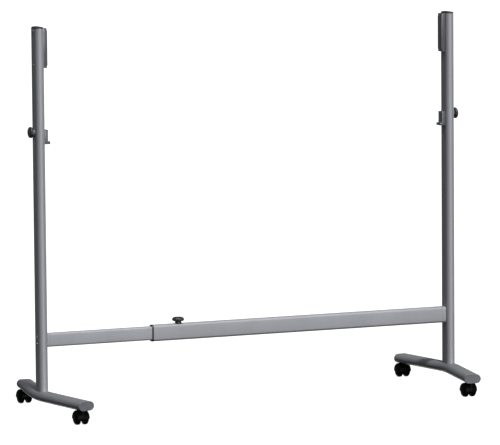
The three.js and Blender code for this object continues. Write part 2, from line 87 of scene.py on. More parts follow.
# Crossbar: height of its axis; width, height and corner radius of its two tubes; their walls
BAR_Z = mid(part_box("outer_crossbar"), "z")
OUTER, OUTER_WALL = (36 * MM, 72 * MM, 11 * MM), 2.5 * MM
INNER, INNER_WALL = (28 * MM, 60 * MM, 8.5 * MM), 2 * MM
LEAST_CORNER = 0.8 * MM  # smallest corner radius inside them

# Castors: a stem in the foot, and wheels that trail behind it; distances along a wheel's axle from the middle
STEM_INSET, STEM_R, STEM_COLLAR = 28 * MM, 5 * MM, 2 * MM
TRAIL = 25 * MM
WHEEL_R, WHEEL_RIM, WHEEL_HUB = 30 * MM, 5 * MM, 10 * MM
WHEEL_INNER, TREAD_IN, TREAD_OUT, WHEEL_OUT = 8.5 * MM, 13.5 * MM, 20 * MM, 31.5 * MM


# ---------------------------------------------------------------- shapes

def mesh_piece(name, loops, ring=False):
    """Skin over a row of matching closed loops, with flat ends, or joined last to first if ring is set."""
    made = bmesh.new()
    rows = [[made.verts.new(p) for p in loop] for loop in loops]
    for a, b in zip(rows, rows[1:] + rows[:1] if ring else rows[1:]):
        for i in range(len(a)):
            k = (i + 1) % len(a)
            made.faces.new((a[i], a[k], b[k], b[i]))
    if not ring:
        made.faces.new(rows[0][::-1])
        made.faces.new(rows[-1])
    bmesh.ops.remove_doubles(made, verts=made.verts, dist=SAME_POINT)
    bmesh.ops.recalc_face_normals(made, faces=made.faces)
    return finished(name, made)


def finished(name, made):
    """Piece in the scene from a bmesh, with smooth faces between sharp edges."""
    mesh = bpy.data.meshes.new(name)
    made.to_mesh(mesh)
    made.free()
    piece = bpy.data.objects.new(name, mesh)
    bpy.context.scene.collection.objects.link(piece)
    return shaded(piece)


def shaded(piece):
    piece.data.polygons.foreach_set("use_smooth", [True] * len(piece.data.polygons))
    piece.data.set_sharp_from_angle(angle=SHARP)
    return piece


def oval(width, depth):
    """Flat-oval loop: width across the flats (x), depth over the rounds (y)."""
    r = width / 2
    y = depth / 2 - r
    turns = [math.pi * i / ARC for i in range(ARC + 1)]
    half = [(r * math.cos(a), y + r * math.sin(a)) for a in turns]
    return half + [(-a, -b) for a, b in half]


def rounded(width, height, r):
    """Rectangle loop with round corners."""
    loop = []
    for quarter, (sx, sy) in enumerate(((1, 1), (-1, 1), (-1, -1), (1, -1))):
        for i in range(CORNER + 1):
            a = (quarter + i / CORNER) * math.pi / 2
            x, y = sx * (width / 2 - r) + r * math.cos(a), sy * (height / 2 - r) + r * math.sin(a)
            loop.append((x, y))
    return loop


def upright_at(loop, z):
    """Loop drawn in (x, y) at a height, around the right upright's axis."""
    return [(X0 + x, Y0 + y, z) for x, y in loop]


def along_x(loop, x, z=BAR_Z):
    """Loop drawn in (y, z) at a place along X, around the crossbar's axis."""
    return [(x, Y0 + y, z + h) for y, h in loop]


def lathe(name, profile, place, axis="z", sides=ROUND):
    """Solid of revolution from [radius, height] points, turned about an axis through place."""
    turn = {"z": Matrix.Identity(4), "x": Matrix.Rotation(math.pi / 2, 4, "Y")}[axis]
    turns = [2 * math.pi * i / sides for i in range(sides)]
    loops = [[(r * math.cos(t), r * math.sin(t), h) for t in turns] for r, h in profile]
    piece = mesh_piece(name, loops, ring=profile[0] == profile[-1])
    piece.data.transform(Matrix.Translation(place) @ turn)
    return piece


def rod(name, radius, low, high, place, **turned):
    """Plain cylinder from low to high along its axis."""
    return lathe(name, [(0, low), (radius, low), (radius, high), (0, high)], place, **turned)


def arc_points(r0, h0, r1, h1, steps=10):
    """Quarter of an ellipse from [r0, h0] on its rim to [r1, h1] at its end."""
    turns = [math.pi / 2 * i / steps for i in range(steps + 1)]
    return [(r1 + (r0 - r1) * math.cos(a), h0 + (h1 - h0) * math.sin(a)) for a in turns]


def block(name, low, high):
    """Box between two opposite corners."""
    x, y, z = low
    u, v, w = high
    return mesh_piece(name, [[(x, y, h), (u, y, h), (u, v, h), (x, v, h)] for h in (z, w)])


def cut(piece, *tools, operation="DIFFERENCE"):
    """Cuts the tools from a piece, or joins them to it, and removes them."""
    for tool in tools:
        step = piece.modifiers.new("cut", "BOOLEAN")
        step.object, step.operation, step.solver = tool, operation, "EXACT"
    settle(piece)
    for tool in tools:
        bpy.data.objects.remove(tool)
    return shaded(piece)


def bevel(piece, width):
    step = piece.modifiers.new("bevel", "BEVEL")
    step.width, step.segments = width, BEVEL_STEPS
    step.limit_method, step.angle_limit = "ANGLE", BEVEL_ANGLE
    step.harden_normals = False
    settle(piece)
    return shaded(piece)


def settle(piece):
    """Replaces a piece's mesh by what its modifiers make of it."""
    bpy.context.view_layer.update()
    made = bpy.data.meshes.new_from_object(piece.evaluated_get(bpy.context.evaluated_depsgraph_get()))
    piece.modifiers.clear()
    piece.data = made


def side_outline(name, points, width):
    """Slab from an outline drawn in (x, z), as deep as width from front to rear."""
    return mesh_piece(name, [[(x, Y0 + y, z) for x, z in points] for y in (-width / 2, width / 2)])


def mirrored(piece):
    """Turns a piece of the right side into its twin on the left."""
    piece.data.transform(Matrix.Scale(-1, 4, (1, 0, 0)))
    piece.data.flip_normals()
    return piece


def on(piece, body, slot, skin, *nodes):
    """Puts a finished piece on its body, in its material, in place of its CAD nodes."""
    piece.data.materials.clear()
    piece.data.materials.append(skin)
    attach(piece, body)
    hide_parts(*nodes)


# ---------------------------------------------------------------- materials

COAT_ROUGHNESS = 0.28
NOISE_SPAN = (0.3, 0.7)  # most of a noise's values lie between these
EDGE_SPAN = (0.52, 0.62)  # pointiness at which an edge starts to show wear, and is worn in full
COOL = (0.982, 0.992, 1.062)
SLATE = (0.95, 0.97, 1.11)
BLUISH = (0.94, 0.98, 1.08)
NEAR_NEUTRAL = (1, 1, 1.03)
NEUTRAL = (1, 1, 1)


def grey(value, tint=NEUTRAL):
    return (value * tint[0], value * tint[1], value * tint[2], 1)


def ranged(tree, source, low, high, to_low, to_high):
    """Stretches a value from one range to another."""
    made = tree.nodes.new("ShaderNodeMapRange")
    tree.links.new(source, made.inputs["Value"])
    for key, value in (("From Min", low), ("From Max", high), ("To Min", to_low), ("To Max", to_high)):
        made.inputs[key].default_value = value
    return made.outputs["Result"]


class Skin:
    """A material and its nodes, with short ways to add noise, spots, wear and bumps to them."""

    def __init__(self, name, roughness, metallic=0.0, specular=0.5, coat=0.0):
        self.material = bpy.data.materials.new(name)
        self.material.use_nodes = True
        self.tree = self.material.node_tree
        self.shader = self.tree.nodes["Principled BSDF"]
        self.shader.inputs["Metallic"].default_value = metallic
        self.shader.inputs["Roughness"].default_value = roughness
        self.shader.inputs["Specular IOR Level"].default_value = specular
        self.shader.inputs["Coat Weight"].default_value = coat
        self.shader.inputs["Coat Roughness"].default_value = COAT_ROUGHNESS
        self.place = self.node("ShaderNodeTexCoord").outputs["Object"]

    def node(self, kind, **settings):
        made = self.tree.nodes.new(kind)
        for key, value in settings.items():
            setattr(made, key, value)
        return made

    def link(self, source, target):
        self.tree.links.new(source, target)

    def noise(self, scale, detail=3.0, rough=0.5, stretch=(1, 1, 1)):
        mapping = self.node("ShaderNodeMapping")
        self.link(self.place, mapping.inputs["Vector"])
        mapping.inputs["Scale"].default_value = stretch
        made = self.node("ShaderNodeTexNoise")
        self.link(mapping.outputs["Vector"], made.inputs["Vector"])
        made.inputs["Scale"].default_value = scale
        made.inputs["Detail"].default_value = detail
        made.inputs["Roughness"].default_value = rough
        return made.outputs["Fac"]

    def cells(self, scale):
        made = self.node("ShaderNodeTexVoronoi")
        self.link(self.place, made.inputs["Vector"])
        made.inputs["Scale"].default_value = scale
        return made.outputs["Distance"]

    def swing(self, noise, low=0, high=1):
        """Noise drawn out to run from low to high."""
        return ranged(self.tree, noise, *NOISE_SPAN, low, high)

    def spots(self, noise, start, full, share):
        """Share of spots where the noise is high: none up to start, all of the share from full."""
        return ranged(self.tree, noise, start, full, 0, share)

    def worn(self, share):
        """Share of wear on the edges."""
        edges = self.node("ShaderNodeNewGeometry").outputs["Pointiness"]
        return self.spots(ranged(self.tree, edges, *EDGE_SPAN, 0, 1), 0, 1, share)

    def mix(self, share, first, second):
        made = self.node("ShaderNodeMix", data_type="RGBA")
        for key, value in ((0, share), (6, first), (7, second)):
            if isinstance(value, bpy.types.NodeSocket):
                self.link(value, made.inputs[key])
            else:
                made.inputs[key].default_value = value
        return made.outputs[2]

    def bump(self, height, strength, distance, below=None):
        made = self.node("ShaderNodeBump")
        self.link(height, made.inputs["Height"])
        made.inputs["Strength"].default_value = strength
        made.inputs["Distance"].default_value = distance
        if below:
            self.link(below, made.inputs["Normal"])
        return made.outputs["Normal"]

    def done(self, colour, roughness, normal):
        self.link(colour, self.shader.inputs["Base Color"])
        self.link(roughness, self.shader.inputs["Roughness"])
        self.link(normal, self.shader.inputs["Normal"])
        return self.material


def powder_coat(name, low, high):
    """Satin grey powder coat: orange peel, fine sparkle, faint handling marks and rubbed edges."""
    skin = Skin(name, 0.6, metallic=0.45, specular=0.35)
    glint, mark, rub = grey(high * 1.5, COOL), grey(low * 0.75, COOL), grey(high * 1.45, COOL)
    drift = skin.swing(skin.noise(5, detail=4, stretch=(1, 1, 0.35)))
    base = skin.mix(drift, grey(low, COOL), grey(high, COOL))
    flecked = skin.mix(skin.spots(skin.noise(2600, detail=1), 0.60, 0.74, share=0.28), base, glint)
    handling = skin.noise(34, detail=6, rough=0.7, stretch=(1, 1, 0.25))
    marked = skin.mix(skin.spots(handling, 0.62, 0.76, share=0.22), flecked, mark)
    rubbed = skin.mix(skin.worn(0.35), marked, rub)
    roughness = skin.swing(skin.noise(60, detail=5), 0.54, 0.64)
    peel = skin.bump(skin.noise(420, detail=2), strength=0.10, distance=0.4 * MM)
    fine = skin.bump(skin.noise(2600, detail=1), strength=0.05, distance=0.1 * MM, below=peel)
    return skin.done(rubbed, roughness, fine)


def bracket_paint():
    """Dark grey powder coat with a fine grain under a smooth clear coat."""
    skin = Skin("dark_textured_coat", 0.6, specular=0.3, coat=1.0)
    speck, rub = grey(0.15, COOL), grey(0.20, COOL)
    grain = skin.noise(1500, detail=3)
    drift = skin.swing(skin.noise(22, detail=4))
    base = skin.mix(drift, grey(0.066, SLATE), grey(0.080, SLATE))
    speckled = skin.mix(skin.spots(grain, 0.58, 0.75, share=0.35), base, speck)
    rubbed = skin.mix(skin.worn(0.3), speckled, rub)
    roughness = skin.swing(grain, 0.54, 0.66)
    return skin.done(rubbed, roughness, skin.bump(grain, strength=0.35, distance=0.3 * MM))


def moulded(name, low, high, tint, roughness, specular, grain_scale, grain):
    """Moulded plastic with a fine leathery grain, slow colour drift, some dust and polished edges."""
    skin = Skin(name, sum(roughness) / 2, specular=specular)
    dust, polish = grey(high * 2.4, tint), grey(high * 2.0, tint)
    texture = skin.cells(grain_scale)
    drift = skin.swing(skin.noise(40, detail=5))
    base = skin.mix(drift, grey(low, tint), grey(high, tint))
    dusty = skin.mix(skin.spots(skin.noise(120, detail=6, rough=0.7), 0.60, 0.80, share=0.16), base, dust)
    polished = skin.mix(skin.worn(0.3), dusty, polish)
    rough = skin.swing(skin.noise(300, detail=4), *roughness)
    fine = skin.bump(texture, strength=grain, distance=0.25 * MM)
    waves = skin.bump(skin.noise(140, detail=3), strength=0.05, distance=0.4 * MM, below=fine)
    return skin.done(polished, rough, waves)


def grey_plastic():
    return moulded("grey_moulding", low=0.118, high=0.142, tint=BLUISH, roughness=(0.46, 0.60), specular=0.35,
                   grain_scale=1300, grain=0.22)


def black_plastic():
    return moulded("black_moulding", low=0.018, high=0.028, tint=NEAR_NEUTRAL, roughness=(0.34, 0.50),
                   specular=0.55, grain_scale=1100, grain=0.30)


def wheel_plastic():
    return moulded("black_nylon", low=0.0018, high=0.0032, tint=NEAR_NEUTRAL, roughness=(0.40, 0.56),
                   specular=0.09, grain_scale=700, grain=0.10)


def zinc_steel():
    """Dulled zinc plate with a fine grain and a faint yellow-blue drift."""
    skin = Skin("zinc_plate", 0.32, metallic=1.0)
    bluish, yellowish, dull = (0.36, 0.36, 0.37, 1), (0.42, 0.41, 0.36, 1), grey(0.24)
    base = skin.mix(skin.swing(skin.noise(90, detail=4)), bluish, yellowish)
    dulled = skin.mix(skin.spots(skin.noise(420, detail=6), 0.55, 0.8, share=0.35), base, dull)
    roughness = skin.swing(skin.noise(700, detail=4), 0.32, 0.50)
    fine = skin.bump(skin.noise(1800, detail=2), strength=0.12, distance=0.1 * MM)
    return skin.done(dulled, roughness, fine)


PAINT = powder_coat("silver_powder_coat", 0.300, 0.345)
FOOT_PAINT = powder_coat("grey_powder_coat", 0.213, 0.247)
DARK, GREY = bracket_paint(), grey_plastic()
BLACK, NYLON, ZINC = black_plastic(), wheel_plastic(), zinc_steel()


# ---------------------------------------------------------------- uprights and caps

def upright(name):
    """Flat-oval tube with eased ends and the slot that the ledge slides in."""
    low, high = UPRIGHT[0].z, UPRIGHT[1].z
    width, depth = OUTER_FACE - INNER_FACE, UPRIGHT[1].y - UPRIGHT[0].y
    outer, eased = oval(width, depth), oval(width - 2 * LIP, depth - 2 * LIP)
    inner = oval(width - 2 * UPRIGHT_WALL, depth - 2 * UPRIGHT_WALL)
    rows = [(eased, low), (outer, low + LIP), (outer, high - LIP), (eased, high), (inner, high), (inner, low)]
    tube = mesh_piece(name, [upright_at(loop, z) for loop, z in rows], ring=True)
    slot_loop, middle = oval(SLOT_WIDTH, SLOT_DROP + SLOT_WIDTH), LEDGE_STUD_Z - SLOT_DROP / 2
    slot = mesh_piece("slot", [along_x(slot_loop, X0 + x, middle) for x in (-width, width)])
    return cut(tube, slot)


def top_cap(name):
    """Cap on an upright: a short wall, and a dome that runs in from its edge."""
    low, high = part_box("right_top_cap")
    width, depth = high.x - low.x, high.y - low.y
    wall, edge, ease, dome_inset = 3.5 * MM, 1.0 * MM, 0.5 * MM, 14 * MM
    base = UPRIGHT[1].z + FIT
    dome_low = base + wall - edge
    rows = [(ease, base), (0, base + ease), (0, dome_low)]
    for inset, z in arc_points(dome_inset, dome_low, 0, high.z, steps=12):
        rows.append((dome_inset - inset, z))
    return mesh_piece(name, [upright_at(oval(width - 2 * i, depth - 2 * i), z) for i, z in rows])


# ---------------------------------------------------------------- feet and caps

def foot_line():
    """Centre line of the right foot in plan: points and directions from the front tip to the rear tip."""
    straight = 2 * FOOT_BEND * math.tan(FOOT_TURN / 2)
    corner = straight * math.tan(FOOT_TURN) / 2

    def at(y):
        return Vector((X0 + corner - abs(y) * math.tan(FOOT_TURN), Y0 + y))

    start, middle, end = at(-straight), at(0), at(straight)
    line = [(at(-FOOT_REACH), start - at(-FOOT_REACH))]
    for i in range(BEND_STEPS + 1):
        t = i / BEND_STEPS
        point = start * (1 - t) ** 2 + middle * (2 * t * (1 - t)) + end * t * t
        line.append((point, (middle - start) * (1 - t) + (end - middle) * t))
    line.append((at(FOOT_REACH), at(FOOT_REACH) - end))
    return [(point, way.normalized()) for point, way in line]


def foot(name):
    """Flat-oval tube along the bent line of a foot."""
    z = FOOT[0].z + FOOT_HEIGHT / 2

    def section(point, way, shrink):
        across = Vector((way.y, -way.x))
        loop = oval(FOOT_HEIGHT - 2 * shrink, FOOT_WIDTH - 2 * shrink)
        return [(point.x + across.x * w, point.y + across.y * w, z + h) for h, w in loop]

    line = foot_line()
    outside = [section(p, w, 0) for p, w in line]
    inside = [section(p, w, FOOT_WALL) for p, w in line]
    return mesh_piece(name, outside + inside[::-1], ring=True)


def foot_place(end):
    """Frame of a foot tip: its end of the tube, with +Y pointing out of it."""
    point, way = foot_line()[0 if end < 0 else -1]
    way = way * (-1 if end < 0 else 1)
    z = FOOT[0].z + FOOT_HEIGHT / 2
    across = Vector((way.y, -way.x))
    return Matrix(((across.x, way.x, 0, point.x), (across.y, way.y, 0, point.y), (0, 0, 1, z), (0, 0, 0, 1)))


def foot_cap(name, end):
    """Cap with a rounded edge, a shallow dished face and a plug in the tube."""
    plate, edge, back_ease = 4 * MM, 1.5 * MM, 0.2 * MM
    plug, plug_inset, plug_ease = 50 * MM, FOOT_WALL + FIT, 1 * MM
    rim, dish, dish_slope = 2.6 * MM, 0.5 * MM, 0.6 * MM
    socket_r, socket_top = 5.8 * MM, 10 * MM

    def loop(inset, y):
        flat = oval(FOOT_HEIGHT - 2 * inset, FOOT_WIDTH - 2 * inset)
        return [(w, y, h) for h, w in flat]

    rows = [(plug_inset + plug_ease, -plug), (plug_inset, -plug + plug_ease), (plug_inset, FIT)]
    rows += [(back_ease, FIT), (0, FIT + back_ease)]
    for r, y in arc_points(edge, plate - edge, 0, plate, steps=6):
        rows.append((edge - r, y))
    rows += [(rim, plate), (rim + dish_slope, plate - dish)]
    cap = mesh_piece(name, [loop(inset, y) for inset, y in rows])
    cut(cap, rod("socket", socket_r, -FOOT_HEIGHT / 2, socket_top, (0, -STEM_INSET, 0)))
    cap.data.transform(foot_place(end))
    return cap


def foot_bolt(name):
    """Button-head bolt up through the foot, with a hexagon socket in its head."""
    low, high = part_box("right_foot_bolt")
    seat, radius, head = FOOT[0].z - FIT, 5 * MM, 9 * MM
    head_edge, head_flat, ease = 1.5 * MM, 4 * MM, 1 * MM
    socket_r, socket_depth = 3.4 * MM, 3 * MM
    crown = arc_points(head, seat - head_edge, head_flat, low.z, steps=8)[::-1]
    profile = [(0, low.z)] + crown + [(head, seat), (radius, seat), (radius, high.z - ease)]
    profile += [(radius - ease, high.z), (0, high.z)]
    bolt = lathe(name, profile, (X0, Y0, 0))
    return cut(bolt, rod("key", socket_r, low.z - ease, low.z + socket_depth, (X0, Y0, 0), sides=6))


# ---------------------------------------------------------------- brackets, ledges and their fastenings

def top_bracket(name):
    """Long bracket: a raised middle between two screw pads, with eased edges."""
    low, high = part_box("right_top_bracket")
    pad, slope, step, edge = 12 * MM, 3 * MM, 2 * MM, 1.4 * MM
    back, pad_face, face = high.x, low.x + step, low.x
    points = [
        (back, low.z), (back, high.z), (pad_face, high.z), (pad_face, high.z - pad + slope),
        (face, high.z - pad), (face, low.z + pad), (pad_face, low.z + pad - slope), (pad_face, low.z),
    ]
    return bevel(side_outline(name, points, high.y - low.y), edge)


def pan_screw(name, node):
    """Pan-head screw with a cross recess, from the outer face of the upright inwards."""
    low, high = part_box(node)
    z, length = (low.z + high.z) / 2, high.x - low.x
    shank, point, point_length = (2.7 if "crossbar" in node else 3.0) * MM, 0.6 * MM, 1 * MM
    head, thick = 5.5 * MM, 3 * MM
    dome, seat = 0.55 * thick, length - thick
    recess, arm_length, arm_width, over = 1.5 * MM, 3.2 * MM, 0.8 * MM, 1 * MM
    profile = [(0, 0), (shank - point, 0), (shank, point_length), (shank, seat), (head, seat)]
    profile += arc_points(head, length - dome, 0, length, steps=9)
    screw = lathe(name, profile, (low.x, Y0, z), axis="x", sides=SMALL_ROUND)
    arms = []
    for wide, tall in ((arm_width, arm_length), (arm_length, arm_width)):
        near, far = (high.x - recess, Y0 - wide, z - tall), (high.x + over, Y0 + wide, z + tall)
        arms.append(block("arm", near, far))
    return cut(screw, *arms)


def ledge_bracket(name):
    """Short bracket with a lip, and a key in the upright's slot."""
    low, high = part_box("right_ledge_bracket")
    depth, lip, edge = 17 * MM, 12 * MM, 1.3 * MM
    key_half, key_low, key_high, sunk = 4.2 * MM, LEDGE_STUD_Z - 16 * MM, LEDGE_STUD_Z - 5 * MM, 1 * MM
    stud_bed, bore_length = 12.3 * MM, 20 * MM
    back, face, lip_face = INNER_FACE - FIT, INNER_FACE - depth, low.x
    points = [
        (back, low.z), (back, high.z), (face, high.z), (face, low.z + lip),
        (lip_face, low.z + lip), (lip_face, low.z),
    ]
    body = bevel(side_outline(name, points, high.y - low.y), edge)
    key = block("key", (back - sunk, Y0 - key_half, key_low), (high.x, Y0 + key_half, key_high))
    cut(body, key, operation="UNION")
    return cut(body, rod("bore", BORE, 0, bore_length, (INNER_FACE - stud_bed, Y0, LEDGE_STUD_Z), axis="x"))


def threaded(radius, start, end):
    """Profile points of a screw thread, as a row of grooves."""
    turns = int((end - start) / THREAD_PITCH)
    return [(radius - THREAD_DEPTH * (i % 2), start + THREAD_PITCH * i / 2) for i in range(2 * turns + 1)]


def ledge_stud(name):
    """Threaded stud from the ledge bracket through the slot into the knob."""
    low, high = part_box("right_ledge_stud")
    length, ease = high.x - low.x, 0.5 * MM
    thread = threaded(SHANK, ease, length - ease)
    profile = [(0, 0), (SHANK - ease, 0), *thread, (SHANK - ease, length), (0, length)]
    return lathe(name, profile, (low.x, Y0, LEDGE_STUD_Z), axis="x", sides=SMALL_ROUND)


def ledge_spacer(name):
    """Round spacer with eased rims and a groove around its middle."""
    low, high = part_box("right_ledge_spacer")
    z, radius, length = (low.z + high.z) / 2, (high.z - low.z) / 2, high.x - low.x
    ease, groove = 0.8 * MM, 0.5 * MM
    profile = [(BORE, 0), (radius - ease, 0), (radius, ease)]
    for share, depth in ((0.42, 0), (0.47, groove), (0.53, groove), (0.58, 0)):
        profile.append((radius - depth, length * share))
    profile += [(radius, length - ease), (radius - ease, length), (BORE, length), (BORE, 0)]
    return lathe(name, profile, (low.x, Y0, z), axis="x")


# Knobs: grips around the rim, and the profile of the head in shares of its radius and of its rim's height
LOBES, FLUTE_DEPTH, FLUTE_START = 12, 0.05, 0.7
HEAD_RIM = 0.45  # height of the rim, as a share of the head's height
HEAD_UNDER = ((0, 0), (0.60, 0), (0.62, 0.05), (0.9, 0.3), (0.965, 0.5))
CROWN_FLAT, DISH = 0.62, ((0.3, 0.3 * MM), (0, 0.5 * MM))
SCREW_ROOM = {"ledge": 0.68, "clamp": 0.76}  # depth of a knob's bore, as a share of its height


def fluted(piece, centre, axis, radius):
    """Presses shallow grips into the rim of a knob."""
    first = axis.orthogonal().normalized()
    for vertex in piece.data.vertices:
        away = vertex.co - centre
        along = away.dot(axis)
        spoke = away - along * axis
        share = spoke.length / radius
        if share > FLUTE_START:
            turn = math.atan2(spoke.dot(axis.cross(first)), spoke.dot(first))
            lobe = FLUTE_DEPTH * (0.5 - 0.5 * math.cos(LOBES * turn))
            press = lobe * min(1, (share - FLUTE_START) / (1 - FLUTE_START))
            vertex.co = centre + along * axis + spoke * (1 - press)
    return shaded(piece)


def mushroom(radius, low, height):
    """Profile of a knob's head: a flat underside, a rounded rim and a crown with a shallow dish."""
    rim, top = height * HEAD_RIM, low + height
    under = [(radius * share, low + rim * rise) for share, rise in HEAD_UNDER]
    crown = arc_points(radius, low + rim, radius * CROWN_FLAT, top)
    return under + crown + [(radius * share, top - dip) for share, dip in DISH]


def ledge_knob(name):
    low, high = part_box("right_ledge_knob")
    centre = Vector((low.x, Y0, (low.z + high.z) / 2))
    radius, height, over = (high.z - low.z) / 2, high.x - low.x, 1 * MM
    knob = lathe(name, mushroom(radius, 0, height), centre, axis="x", sides=KNOB_ROUND)
    fluted(knob, centre, Vector((1, 0, 0)), radius)
    return cut(knob, rod("bore", BORE, -over, height * SCREW_ROOM["ledge"], centre, axis="x"))


# ---------------------------------------------------------------- castors

def ball_half(margin):
    """Domed outer half of a wheel's outline, with a margin around it."""
    out = WHEEL_OUT + margin
    return arc_points(WHEEL_R + margin, TREAD_OUT, WHEEL_HUB, out) + [(0, out)]


def flipped(profile):
    return [(r, -h) for r, h in reversed(profile)]


def castor_centre(side, end):
    low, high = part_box(f"{side}_{end}_castor_axle")
    return (low + high) / 2


def castor_stem(name, centre):
    """Ground stem with a collar below the foot."""
    collar_r, upper, ease, taper = 9 * MM, 5.5 * MM, 0.4 * MM, 2 * MM
    above_floor, in_foot = 34 * MM, 29 * MM
    z, foot_low = centre.z, FOOT[0].z
    low, top, seat = above_floor - z, foot_low + in_foot - z, foot_low - FIT - z
    collar = seat - STEM_COLLAR
    profile = [(0, low), (STEM_R - ease, low), (STEM_R, low + ease), (STEM_R, collar)]
    profile += [(collar_r - ease, collar), (collar_r, collar + ease), (collar_r, seat)]
    profile += [(upper, seat), (upper, top - taper), (upper - taper, top), (0, top)]
    return lathe(name, profile, centre + Vector((0, -TRAIL, 0)))


def castor_housing(name, centre):
    """Hood over both wheels, on a web between them that carries the axle and the stem's post."""
    clear, shell, ease, over = 1.2 * MM, 2 * MM, 0.6 * MM, 1 * MM
    web_half, web_r, room_in = 6 * MM, WHEEL_R - 4 * MM, WHEEL_INNER - 1 * MM
    post_r, post_low, bore_low = 7.5 * MM, -2 * MM, 3 * MM
    hood_floor, web_floor = 27 * MM, 17 * MM
    reach, stem = WHEEL_R * 1.4, centre + Vector((0, -TRAIL, 0))

    def below(label, low, floor):
        """Block that reaches from below the castor up to a height above the floor."""
        near, far = Vector((-reach, -reach, low)), Vector((reach, reach, floor - centre.z))
        return block(label, centre + near, centre + far)

    outline = ball_half(clear + shell)
    room = [(0, room_in), (WHEEL_R + clear, room_in)] + ball_half(clear)
    hood = lathe(name, flipped(outline) + outline, centre, axis="x")
    cut(hood, lathe("room", room, centre, axis="x"), lathe("other", flipped(room), centre, axis="x"),
        below("under", -reach - WHEEL_R, hood_floor))
    disc = cut(rod("disc", web_r, -web_half, web_half, centre, axis="x"), below("low", -reach, web_floor))
    top = FOOT[0].z - FIT - STEM_COLLAR - FIT - centre.z
    profile = [(0, post_low), (post_r, post_low), (post_r, top - ease), (post_r - ease, top), (0, top)]
    cut(hood, disc, lathe("post", profile, stem), operation="UNION")
    bore = rod("bore", STEM_R + FIT, bore_low, top + over, stem)
    axle = rod("axle", BORE, -WHEEL_INNER, WHEEL_INNER, centre, axis="x")
    return cut(hood, bore, axle)


def castor_wheel(name, centre, side):
    """Twin-castor wheel: a rounded tread, a domed face with a ring groove, and a bore for the axle."""
    depth, groove, groove_row = 24 * MM, 0.6 * MM, -4  # the groove is in the fourth row from the centre
    tread = arc_points(WHEEL_R, TREAD_IN, WHEEL_R - WHEEL_RIM, WHEEL_INNER, steps=6)[::-1]
    face = ball_half(0)
    r, out = face[groove_row]
    face[groove_row] = (r, out - groove)
    profile = [(0, depth), (BORE, depth), (BORE, WHEEL_INNER), *tread, *face]
    return lathe(name, profile if side > 0 else flipped(profile), centre, axis="x", sides=WHEEL_ROUND)


def castor_axle(name, centre):
    half, ease = 23 * MM, 0.4 * MM
    profile = [(0, -half), (SHANK - ease, -half), (SHANK, -half + ease)]
    return lathe(name, profile + flipped(profile), centre, axis="x", sides=SMALL_ROUND)


# ---------------------------------------------------------------- crossbar

def bar_loop(width, height, corner, inset=0.0):
    """Section of a crossbar tube, or of something inside it at an inset."""
    return rounded(width - 2 * inset, height - 2 * inset, max(corner - inset, LEAST_CORNER))


def bar_tube(name, node, section, wall):
    """Tube along X with eased ends."""
    low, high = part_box(node)
    outer, eased, inner = (bar_loop(*section, inset) for inset in (0, LIP, wall))
    rows = [(inner, low.x), (eased, low.x), (outer, low.x + LIP)]
    rows += [(outer, high.x - LIP), (eased, high.x), (inner, high.x)]
    return mesh_piece(name, [along_x(loop, x) for loop, x in rows], ring=True)


def outer_bar(name):
    """Wide tube, with the hole for the clamp's insert in its top."""
    x, top = mid(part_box("clamp_insert"), "x"), BAR_Z + OUTER[1] / 2
    hole_r, into, over = 5.8 * MM, 8 * MM, 4 * MM
    tube = bar_tube(name, "outer_crossbar", OUTER, OUTER_WALL)
    return cut(tube, rod("hole", hole_r, top - into, top + over, (x, Y0, 0)))


def end_block(name, node, section):
    """Moulded head flush with the tube, its plug in the tube behind it. Drawn on the right for both sides."""
    low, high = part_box(node)
    head, plug_length, lip, plug_inset = 16 * MM, 40 * MM, 0.8 * MM, 2.8 * MM
    hole_r, hole_rise, hole_bed, over = 3 * MM, 15 * MM, 5 * MM, 1 * MM
    face = -low.x if node.startswith("left") else high.x
    shoulder, far = face - head, face - head - plug_length
    plug, eased, full = (bar_loop(*section, inset) for inset in (plug_inset, lip, 0))
    rows = [(plug, far), (plug, shoulder), (eased, shoulder), (full, shoulder + lip)]
    rows += [(full, face - lip), (eased, face)]
    body = mesh_piece(name, [along_x(loop, x) for loop, x in rows])
    holes = [
        rod("hole", hole_r, far + hole_bed, face + over, (0, Y0, BAR_Z + up * hole_rise), axis="x", sides=24)
        for up in (-1, 1)
    ]
    return cut(body, *holes)


def collar(name):
    """Collar with an eased lip at the mouth of the outer tube, and its bush inside."""
    low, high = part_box("crossbar_collar")
    length, proud, ease = 7 * MM, 0.5 * MM, 1.2 * MM
    half_inset, half_length = ease * 0.3, ease * 0.35
    shoulder = low.x + length
    bush, bore = bar_loop(*OUTER, OUTER_WALL + FIT), bar_loop(*INNER, -FIT)
    width, height = (size + 2 * proud for size in OUTER[:2])
    rim, half, lipped = (bar_loop(width, height, OUTER[2], inset) for inset in (0, half_inset, ease))
    rows = [(bore, low.x), (lipped, low.x), (half, low.x + half_length), (rim, low.x + ease)]
    rows += [(rim, shoulder), (bush, shoulder), (bush, high.x), (bore, high.x)]
    return mesh_piece(name, [along_x(loop, x) for loop, x in rows], ring=True)


def bar_guide(name):
    """Plug in the hidden end of the slim tube, with a runner that fills the wide one."""
    low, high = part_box("inner_crossbar_guide")
    plug_length, ease = 20.3 * MM, 1.5 * MM
    step = low.x + plug_length
    plug = bar_loop(*INNER, INNER_WALL + FIT)
    runner, eased = (bar_loop(*OUTER, OUTER_WALL + FIT + inset) for inset in (0, ease))
    rows = [(plug, low.x), (plug, step), (eased, step), (runner, step + ease)]
    rows += [(runner, high.x - ease), (eased, high.x)]
    return mesh_piece(name, [along_x(loop, x) for loop, x in rows])


